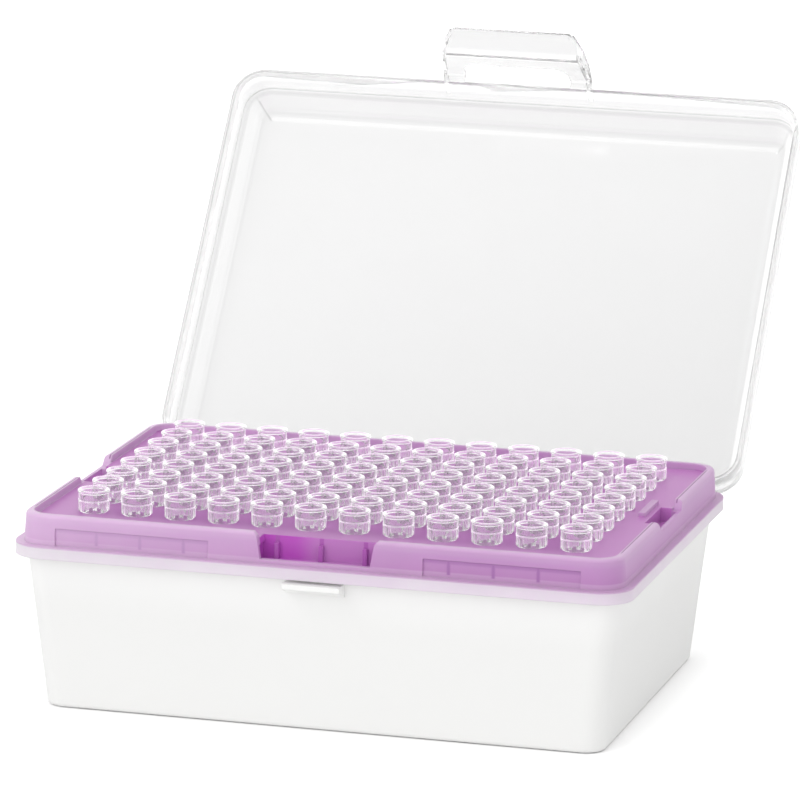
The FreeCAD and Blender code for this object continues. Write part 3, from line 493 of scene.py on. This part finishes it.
def tipSection():
    # half of a tip cut down its middle, as (radius, height) points
    top, collar = tip["top"], tip["collar"]
    rest = tip["plate"] + tip["seatGap"]
    bead = top - tip["beadDrop"]
    seat = top - tip["seatDrop"]
    return [
        (tip["mouth"], top - tip["mouthDrop"]), (tip["mouth"] + tip["mouthEdge"], top),
        (tip["lip"] - tip["lipEdge"], top), (tip["lip"], top - tip["lipEdge"]),
        (tip["lip"], top - tip["lipHeight"]), (collar, top - tip["lipHeight"] - tip["lipStep"]),
        (collar, bead + tip["beadHalf"]), (tip["bead"], bead), (collar, bead - tip["beadHalf"]),
        (collar, tip["ribTop"]), (collar - tip["collarTaper"], tip["ribFoot"]),
        (collar - tip["collarEdge"], rest), (tip["shank"], rest),
        (tip["shank"], tip["shankFoot"]), (tip["waist"], tip["waistHeight"]),
        (tip["point"], tip["foot"]), (tip["pointBore"], tip["foot"]),
        (tip["ledge"], tip["filterFoot"]), (tip["narrow"], tip["filterFoot"]),
        (tip["narrow"], tip["filterTop"]), (tip["bore"], seat - tip["seatFall"]),
        (tip["seat"] - tip["seatEdge"], seat), (tip["seat"], seat + tip["seatRise"]),
    ]


def raiseRibs(bm):
    # every other face round the lower collar stands out as a fine rib
    band = []
    for face in bm.faces:
        middle = face.calc_center_median()
        if tip["ribFoot"] < middle.z < tip["ribTop"] and middle.xy.length > tip["shank"]:
            turn = math.atan2(middle.y, middle.x) / allAround * tip["steps"]
            if int(math.floor(turn)) % 2 == 0:
                band.append(face)
    for face in bmesh.ops.extrude_discrete_faces(bm, faces=band)["faces"]:
        middle = face.calc_center_median()
        outward = Vector((middle.x, middle.y, 0)).normalized()
        bmesh.ops.translate(bm, verts=face.verts, vec=outward * tip["ribRise"])


def oneTip():
    bm = bmesh.new()
    verts = [bm.verts.new((radius, 0, z)) for radius, z in tipSection()]
    edges = [bm.edges.new((verts[k], verts[(k + 1) % len(verts)])) for k in range(len(verts))]
    bmesh.ops.spin(bm, geom=verts + edges, axis=(0, 0, 1), cent=(0, 0, 0), dvec=(0, 0, 0),
                   angle=allAround, steps=tip["steps"], use_merge=True)
    bmesh.ops.remove_doubles(bm, verts=bm.verts, dist=weld / 2)
    bmesh.ops.recalc_face_normals(bm, faces=bm.faces)
    raiseRibs(bm)
    return plainMesh(bm, "tip")


def makeTips(material):
    single = oneTip()
    front = -(tip["rows"] - 1) / 2 * tip["pitch"]
    for column in range(tip["columns"]):
        bm = bmesh.new()
        bm.from_mesh(single)
        first = bm.verts[:] + bm.edges[:] + bm.faces[:]
        across = (column - (tip["columns"] - 1) / 2) * tip["pitch"]
        bmesh.ops.translate(bm, verts=bm.verts, vec=(across, front, 0))
        for row in range(1, tip["rows"]):
            copy = bmesh.ops.duplicate(bm, geom=first)["geom"]
            bmesh.ops.translate(bm, verts=ofKind(copy, bmesh.types.BMVert),
                                vec=(0, row * tip["pitch"], 0))
        number = "%02d" % (column + 1)
        finishPiece(plainMesh(bm, "tips"), "tips_" + number, material, "box",
                    ["tips_column_" + number])


tipPlastic = plastic("tipPlastic", tipFinish)
paintGlowAtEdges(tipPlastic, tipFinish["paintedGlow"])
makeTips(tipPlastic)
filterFoam = plastic("filterFoam", filterFinish)
for column in range(tip["columns"]):
    dress("filters_column_%02d" % (column + 1), filterFoam)
print("96 tips made, with their filters dressed")


# the lid, drawn closed

lid = {
    "width": 126.0, "depth": 91.0, "corner": 6.8, "cornerSteps": 8, "rim": 34.1,
    "skirtHeight": 7.1, "skirtLean": 0.35, "shoulder": 1.0, "shoulderRise": 0.02,
    "crownHeight": 5.6, "crownLean": 2.85, "crownRound": 2.2, "roundSteps": 4, "wall": 0.95,
    "softEdge": 0.18, "softAbove": 50, "panelEdge": 0.25,
}
lidFinish = {
    "skin": {"Colour": (0.99, 0.99, 0.99, 1), "Flow Colour": (0.96, 0.96, 0.96, 1),
             "Flow Amount": 0.6, "Flow Scale": 24, "Skin Scale": 1400, "Roughness": 0.09,
             "Gloss Drift": 0.03},
    "bumpStrength": 0.15, "bumpDistance": 0.00003, "shadow": 0.12,
    "shader": {"IOR": 1.42, "Transmission Weight": 0.88, "Emission Strength": 1.0},
    # painted light: the lid glows a little for the camera, most where its surfaces turn away
    "paintedGlow": {"least": 0.02, "most": 0.36, "power": 1.5, "rings": ()},
}
lidLightAndShade = {
    # painted shade: height, half of it, softness and shade of the line along each bend
    "bends": ((40.8, 0.4, 0.15, (0.86, 0.86, 0.86, 1)), (45.05, 0.3, 0.25, (0.92, 0.92, 0.92, 1))),
    "cornerX": 58.9, "cornerY": 41.4, "foldHalf": 0.28, "foldSoft": 0.3, "foldLength": 2,
    "foldFoot": 41.6, "footSoft": 0.2, "foldShade": (0.76, 0.76, 0.76, 1),
    "fadeSlant": 0.6, "fadeMiddle": 20, "fadeReach": 70, "fadeShade": (0.89, 0.89, 0.89, 1),
    "edgeLine": 0.75, "edgeSoft": 0.15, "edgeKept": 0.2,
    "rimGlow": 0.34, "rimGlowFoot": -0.3, "rimGlowHeight": 2.4, "rimGlowSoft": 1.2,
    "latchHalf": 16.6, "latchGap": 0.05, "panelMiddle": 44.6, "panelReach": 1.2,
    # painted light: middle height, half of it and glow of the side walls, the pull and its bend
    "walls": ((42.9, 2.0, 0.04), (25.1, 0.6, 0.14), (23.2, 1.3, 0.02)), "wallSoft": 0.2,
}


def paintLidShade(tree, place):
    # painted shade: bends in the clear plastic are painted as faint grey lines, at set heights of
    # the closed lid and down its corners; the panel is painted a shade greyer towards the hinge
    x, y, z = place
    across, along = maths(tree, "ABSOLUTE", x), maths(tree, "ABSOLUTE", y)
    base = tree.nodes["Principled BSDF"].inputs["Base Color"]
    colour = base.links[0].from_socket
    for height, half, soft, shade in lidLightAndShade["bends"]:
        colour = blend(tree, around(tree, z, height, half, soft), colour, shade)
    gap = maths(tree, "SUBTRACT", maths(tree, "SUBTRACT", across, lidLightAndShade["cornerX"]),
                maths(tree, "SUBTRACT", along, lidLightAndShade["cornerY"]))
    inCrown = above(tree, z, lidLightAndShade["foldFoot"], lidLightAndShade["footSoft"])
    nearCorner = above(tree, across, lidLightAndShade["cornerX"] - lidLightAndShade["foldLength"],
                       lidLightAndShade["footSoft"])
    fold = product(tree, below(tree, maths(tree, "ABSOLUTE", gap), lidLightAndShade["foldHalf"],
                               lidLightAndShade["foldSoft"]), nearCorner, inCrown)
    colour = blend(tree, fold, colour, lidLightAndShade["foldShade"])
    slant = maths(tree, "MULTIPLY_ADD", x, lidLightAndShade["fadeSlant"], y)
    fade = product(tree, above(tree, slant, lidLightAndShade["fadeMiddle"], lidLightAndShade["fadeReach"]),
                   inCrown)
    feed(tree, base, blend(tree, fade, colour, lidLightAndShade["fadeShade"]))


def pastCorner(tree, place):
    # how far out a point is from the middle of the nearest rounded corner
    squares = []
    for value, half in zip(place, (lid["width"] / 2, lid["depth"] / 2)):
        past = maths(tree, "SUBTRACT", maths(tree, "ABSOLUTE", value), half - lid["corner"])
        past = maths(tree, "MAXIMUM", past, 0)
        squares.append(product(tree, past, past))
    return maths(tree, "SQRT", maths(tree, "ADD", *squares))


def paintedRimLight(tree, place):
    # painted light: the thick rim is painted white with a glow, all but a fine line along its
    # outer edge and the latch, which stands out of it; the side walls, the pull and its bend get a
    # painted glow too; the result is added to the glow of the edges
    x, y, z = place
    line = above(tree, pastCorner(tree, place), lid["corner"] - lidLightAndShade["edgeLine"],
                 lidLightAndShade["edgeSoft"])
    onLatch = product(tree, below(tree, maths(tree, "ABSOLUTE", x), lidLightAndShade["latchHalf"], 0.1),
                      above(tree, product(tree, y, -1), lid["depth"] / 2 + lidLightAndShade["latchGap"],
                            lidLightAndShade["latchGap"]))
    paintedGlow = product(tree, maths(tree, "MULTIPLY_ADD", line, lidLightAndShade["edgeKept"] - 1, 1),
                   below(tree, z, lid["rim"] + lidLightAndShade["rimGlowHeight"],
                         lidLightAndShade["rimGlowSoft"]),
                   above(tree, z, lid["rim"] + lidLightAndShade["rimGlowFoot"], 0.1),
                   maths(tree, "SUBTRACT", 1, onLatch), lidLightAndShade["rimGlow"])
    for height, half, extra in lidLightAndShade["walls"]:
        wall = around(tree, z, height, half, lidLightAndShade["wallSoft"])
        paintedGlow = maths(tree, "MULTIPLY_ADD", wall, extra, paintedGlow)
    return paintedGlow


def makeLidPlastic():
    material = plastic("lidPlastic", lidFinish)
    tree = material.node_tree
    place = placeInMm(tree, closed=True)
    paintLidShade(tree, place)
    # the painted glow of turned-away surfaces is kept off the flat panel, which stays clear from
    # whichever side it is seen
    beside = below(tree, place[2], lidLightAndShade["panelMiddle"], lidLightAndShade["panelReach"])
    paintGlowAtEdges(material, lidFinish["paintedGlow"], added=paintedRimLight(tree, place), kept=beside)
    return material


def lidShell():
    bm = bmesh.new()
    bmesh.ops.create_grid(bm, x_segments=1, y_segments=1, size=0.5)
    bmesh.ops.scale(bm, verts=bm.verts, vec=(lid["width"], lid["depth"], 1))
    bmesh.ops.translate(bm, verts=bm.verts, vec=(0, 0, lid["rim"]))
    bmesh.ops.bevel(bm, geom=bm.verts[:], offset=lid["corner"], offset_type="OFFSET",
                    segments=lid["cornerSteps"], profile=0.5, affect="VERTICES",
                    clamp_overlap=True, material=-1)
    panel = bm.faces[:][0]
    if panel.normal.z < 0:
        panel.normal_flip()
    steps = ((lid["skirtLean"], lid["skirtHeight"]), (lid["shoulder"], lid["shoulderRise"]),
             (lid["crownLean"], lid["crownHeight"] - lid["shoulderRise"]))
    for inward, up in steps:
        bmesh.ops.inset_region(bm, faces=[panel], use_boundary=True, use_even_offset=True,
                               thickness=inward, depth=up)
    softenEdges(bm, list(panel.edges), lid["crownRound"], lid["roundSteps"])
    # a narrow flat border keeps the rounding's shading off the panel
    panel = max(bm.faces, key=lambda face: face.calc_area())
    bmesh.ops.inset_region(bm, faces=[panel], use_boundary=True, use_even_offset=True,
                           thickness=lid["panelEdge"])
    shoulder = lid["rim"] + lid["skirtHeight"]
    ledge = [e for e in bm.edges if all(abs(v.co.z - shoulder) < 0.1 for v in e.verts)
             and len(e.link_faces) == 2 and e.calc_face_angle(0) > 0.5]
    softenEdges(bm, ledge, lid["softEdge"])
    shell = objectFrom(meshFrom(bm, "shell"), "shell")
    thick = shell.modifiers.new("wall", "SOLIDIFY")
    thick.thickness = lid["wall"]
    thick.offset = -1
    thick.use_even_offset = True
    thick.use_quality_normals = True
    soft = shell.modifiers.new("soft", "BEVEL")
    soft.width = lid["softEdge"]
    soft.segments = 2
    soft.limit_method = "ANGLE"
    soft.angle_limit = math.radians(lid["softAbove"])
    result = evaluatedMesh(shell)
    bpy.data.objects.remove(shell)
    return result


# the latch: heights are how far down from the lid's rim, and reaches how far out from wall
latch = {
    "wall": 45.4, "wallFace": 45.5, "face": 1.4, "plate": 1.0, "bendDrop": 8.8,
    "bendRise": 0.6, "tipDrop": 12.0, "tipReach": 6.7, "tipEdge": 0.4, "rimHalf": 15.7,
    "bendHalf": 15.0, "tipHalf": 14.5, "tipCorner": 2.1, "cornerSteps": 6, "soft": 0.2,
    "windowHalf": 11.7, "windowDrop": 4.8, "windowCorner": 3.0, "windowTall": 12.0,
    "windowDeep": 6.0, "shelf": 0.9, "shelfIn": 0.3, "shelfOver": 0.2,
    "web": 1.0, "webSoft": 0.12,
    # how far down each level of a web is, how far out its two edges are and where they stand
    "webLevels": ((-4.5, -0.4, 0.05, 15.95, 15.95), (-0.35, -0.1, 1.8, 15.85, 16.05),
                  (0, 0.2, 1.9, 15.85, 16.05), (0.8, 2.0, 2.2, 15.7, 16.05),
                  (5.0, 2.0, 3.4, 15.3, 15.9), (8.8, 2.2, 4.6, 14.7, 15.2),
                  (11.6, 5.7, 6.5, 13.1, 13.3)),
}
latchFront = -(latch["wall"] + latch["face"])


def latchBar():
    # the plate that bends out into the pull
    rim, front, thick = lid["rim"], latchFront, latch["plate"]
    out = -(latch["wall"] + latch["tipReach"])
    bend, low = rim - latch["bendDrop"], rim - latch["tipDrop"]
    top = rim - 0.2
    bm = prism([(front, top), (front - thick, top), (front - thick, bend + latch["bendRise"]),
                (out + thick * latch["tipEdge"], low + thick), (out, low), (front, bend)],
               -latch["rimHalf"], latch["rimHalf"])
    # the sides close in towards the pull
    for vert in bm.verts:
        down = (rim - vert.co.z) / latch["bendDrop"]
        half = latch["rimHalf"] + (latch["bendHalf"] - latch["rimHalf"]) * min(down, 1)
        if down > 1.05:  # past the bend
            half = latch["tipHalf"]
        vert.co.x = math.copysign(half, vert.co.x)
    corners = [e for e in bm.edges
               if all(v.co.z < low + thick * 1.1 and v.co.y < front - thick * 2 for v in e.verts)
               and abs(e.verts[0].co.x - e.verts[1].co.x) < 0.01]
    softenEdges(bm, corners, latch["tipCorner"], latch["cornerSteps"])
    softenEdges(bm, sharpEdges(bm, 25), latch["soft"])
    return meshFrom(bm, "plate")


def latchWindow():
    window = bmesh.new()
    bmesh.ops.create_cube(window, size=1)
    tall = latch["windowTall"]
    bmesh.ops.scale(window, verts=window.verts,
                    vec=(latch["windowHalf"] * 2, latch["windowDeep"], tall))
    bmesh.ops.translate(window, verts=window.verts,
                        vec=(0, latchFront - latch["plate"] / 2,
                             lid["rim"] - latch["windowDrop"] + tall / 2))
    upright = [e for e in window.edges if abs(e.verts[0].co.y - e.verts[1].co.y) > 1]
    softenEdges(window, upright, latch["windowCorner"], latch["cornerSteps"])
    return meshFrom(window, "window")


def latchShelf(side):
    # a small shelf joins each foot of the plate to the lid wall
    rim, wall = lid["rim"], latch["shelfIn"] - latch["wallFace"]
    front, back = latchFront - latch["plate"], latchFront - latch["shelfIn"]
    near, far = sorted((side * (latch["windowHalf"] + 0.1),
                        side * (latch["rimHalf"] + latch["shelfOver"])))
    return meshFrom(prism([(wall, rim + 0.05), (wall, rim + latch["shelf"]),
                           (back, rim + latch["shelf"]), (front, rim + latch["shelfOver"]),
                           (front, rim - 0.5), (latchFront, rim - 0.5),
                           (latchFront, rim + 0.05)], near, far), "shelf")


def latchWeb(side):
    # a rib that starts on the lid wall, stands out past the bar and dies into the pull
    thick = latch["web"] / 2
    bm = bmesh.new()
    section = bm.faces.new([bm.verts.new((0, 0, 0)) for corner in range(4)])
    for count, (down, near, far, nearX, farX) in enumerate(latch["webLevels"]):
        if count:
            grown = bmesh.ops.extrude_face_region(bm, geom=[section])["geom"]
            section = ofKind(grown, bmesh.types.BMFace)[0]
        corners = ((near, nearX - thick), (near, nearX + thick),
                   (far, farX + thick), (far, farX - thick))
        for vert, (out, x) in zip(section.verts, corners):
            vert.co = (x * side, -latch["wall"] - out, lid["rim"] - down)
    bmesh.ops.recalc_face_normals(bm, faces=bm.faces)
    softenEdges(bm, sharpEdges(bm, 60), latch["webSoft"])
    return meshFrom(bm, "web")


def makeLatch():
    plate = joined("plate", latchBar(), [latchWindow()], "DIFFERENCE")
    plate = joined("plate", plate, [latchShelf(-1), latchShelf(1)], "UNION")
    return joined("pull", plate, [latchWeb(1), latchWeb(-1)], "UNION")


knuckle = {"middle": 36.0, "width": 9.4, "radius": 2.2, "pin": 1.2, "pinSoft": 0.2, "lug": 14.0,
           "arm": 3.1, "armFoot": 0.3, "armIn": 0.5, "armOut": 1.0, "heelReach": 2.55,
           "heelLength": 2.3, "heelTail": 0.85, "barrelSteps": 40, "pinSteps": 28}


def knuckleParts(side):
    middle, radius = knuckle["middle"] * side, knuckle["radius"]
    start, end = middle - knuckle["width"] / 2, middle + knuckle["width"] / 2
    back, y, z, rim = latch["wallFace"], hinge["y"], hinge["z"], lid["rim"]
    across, up = radius * math.cos(math.pi / 6), radius / 2
    inside, armTop = back - knuckle["armIn"], rim + knuckle["arm"]
    arm = prism([(inside, rim + knuckle["armFoot"]), (y - across, z + up), (y, z),
                 (y + across, z + up), (back + knuckle["armOut"], armTop), (inside, armTop)],
                start, end)
    spread = math.radians(hinge["open"])
    heel = []
    for along, drop in ((0, 0), (0, knuckle["heelReach"]),
                        (knuckle["heelLength"], knuckle["heelReach"]),
                        (knuckle["heelLength"], knuckle["heelTail"])):
        heel.append((y + along * math.cos(spread) + drop * math.sin(spread),
                     z + along * math.sin(spread) - drop * math.cos(spread)))
    foot = prism(heel, start + 0.02, end - 0.02)
    barrel = rod(radius, start - 0.01, end + 0.01, y, z, knuckle["barrelSteps"])
    pin = rod(knuckle["pin"], middle - knuckle["lug"] / 2, middle + knuckle["lug"] / 2, y, z,
              knuckle["pinSteps"])
    softenEdges(pin, sharpEdges(pin, 60), knuckle["pinSoft"])
    return [meshFrom(part, "knuckle") for part in (arm, foot, barrel, pin)]


def makeLid(material):
    parts = [makeLatch()] + knuckleParts(-1) + knuckleParts(1)
    whole = joined("lid_clear", lidShell(), parts, "UNION")
    turn = (Matrix.Translation((0, hinge["y"], hinge["z"]))
            @ Matrix.Rotation(-math.radians(hinge["open"]), 4, "X")
            @ Matrix.Translation((0, -hinge["y"], -hinge["z"])))
    finishPiece(whole, "lid_clear", material, "lid", ["lid"], turn)


makeLid(makeLidPlastic())
print("lid made")


# the studio

studio = {
    "floorSize": 14.0, "floorDrop": 0.0001, "floorColour": (0.92, 0.92, 0.92, 1),
    "floorGlow": 0.34, "paintedShadowReach": 0.008,
    "ambient": 0.86, "zenith": 0.9, "fadeFrom": 0.3, "fadeTo": 0.95,
    "keyPlace": (-0.35, -0.9, 0.62), "keyAngle": 34, "keyStrength": 0.45,
    "glintPlace": (-0.5, -0.6, 0.9), "glintAngle": 11, "glintStrength": 0.2,
    "cameraPlace": (0.3277115, -1.1617427, 0.3281701), "cameraTurn": 15.538,
    "cameraDip": 12.601, "cameraRoll": 0.793, "lens": 276.693, "sensor": 36, "farthest": 50,
}


def makeFloor():
    bm = bmesh.new()
    bmesh.ops.create_grid(bm, x_segments=1, y_segments=1, size=studio["floorSize"] / 2)
    bmesh.ops.translate(bm, verts=bm.verts, vec=(0, 0, -studio["floorDrop"]))
    floor = objectFrom(plainMesh(bm, "floor"), "floor")
    material = bpy.data.materials.new("floorWhite")
    material.use_nodes = True
    tree = material.node_tree
    tree.nodes.remove(tree.nodes["Principled BSDF"])
    matte = node(tree, "BsdfDiffuse")
    matte.inputs["Color"].default_value = studio["floorColour"]
    # the camera sees the floor a little brighter, except close to the box, where ambient occlusion
    # dims that glow into a painted contact shadow
    paintedContactShadow = node(tree, "AmbientOcclusion")
    paintedContactShadow.inputs["Distance"].default_value = studio["paintedShadowReach"]
    paintedGlow = node(tree, "Emission")
    feed(tree, paintedGlow.inputs["Strength"],
         product(tree, node(tree, "LightPath").outputs["Is Camera Ray"], paintedContactShadow.outputs["AO"],
                 studio["floorGlow"]))
    both = node(tree, "AddShader")
    feed(tree, both.inputs[0], matte.outputs[0])
    feed(tree, both.inputs[1], paintedGlow.outputs[0])
    feed(tree, tree.nodes["Material Output"].inputs["Surface"], both.outputs[0])
    floor.data.materials.append(material)


def makeWorld():
    world = bpy.data.worlds.new("studio")
    bpy.context.scene.world = world
    world.use_nodes = True
    tree = world.node_tree
    sky = tree.nodes["Background"]
    sky.inputs["Color"].default_value = (1, 1, 1, 1)
    # camera, glossy and transmission rays see the plain white studio
    path = node(tree, "LightPath").outputs
    seen = maths(tree, "MAXIMUM", maths(tree, "MAXIMUM", path["Is Camera Ray"],
                                        path["Is Glossy Ray"]), path["Is Transmission Ray"])
    split = node(tree, "SeparateXYZ")
    feed(tree, split.inputs[0], node(tree, "TexCoord").outputs["Generated"])
    fade = node(tree, "MapRange")
    feed(tree, fade.inputs["Value"], split.outputs["Z"])
    for socket, value in (("From Min", studio["fadeFrom"]), ("From Max", studio["fadeTo"]),
                          ("To Min", 1), ("To Max", studio["zenith"])):
        fade.inputs[socket].default_value = value
    strength = node(tree, "Mix", data_type="FLOAT")
    feed(tree, strength.inputs["Factor"], seen)
    feed(tree, strength.inputs["A"], studio["ambient"])
    feed(tree, strength.inputs["B"], fade.outputs["Result"])
    feed(tree, sky.inputs["Strength"], strength.outputs["Result"])


def addLamp(name):
    data = bpy.data.lights.new(name, "SUN")
    data.angle = math.radians(studio[name + "Angle"])
    data.energy = studio[name + "Strength"]
    lamp = objectFrom(data, name)
    lamp.location = studio[name + "Place"]
    lamp.rotation_euler = Vector(studio[name + "Place"]).to_track_quat("Z", "Y").to_euler()


def makeCamera():
    data = bpy.data.cameras.new("camera")
    data.lens = studio["lens"]
    data.sensor_width = studio["sensor"]
    data.clip_end = studio["farthest"]
    camera = objectFrom(data, "camera")
    camera.location = studio["cameraPlace"]
    turns = ((studio["cameraTurn"], "Z"), (90 - studio["cameraDip"], "X"),
             (studio["cameraRoll"], "Z"))
    turn = Matrix.Identity(3)
    for angle, axis in turns:
        turn = turn @ Matrix.Rotation(math.radians(angle), 3, axis)
    camera.rotation_euler = turn.to_euler()
    bpy.context.scene.camera = camera


makeFloor()
makeWorld()
addLamp("key")
addLamp("glint")
makeCamera()
bpy.context.scene.view_settings.view_transform = "Standard"
print("studio made")
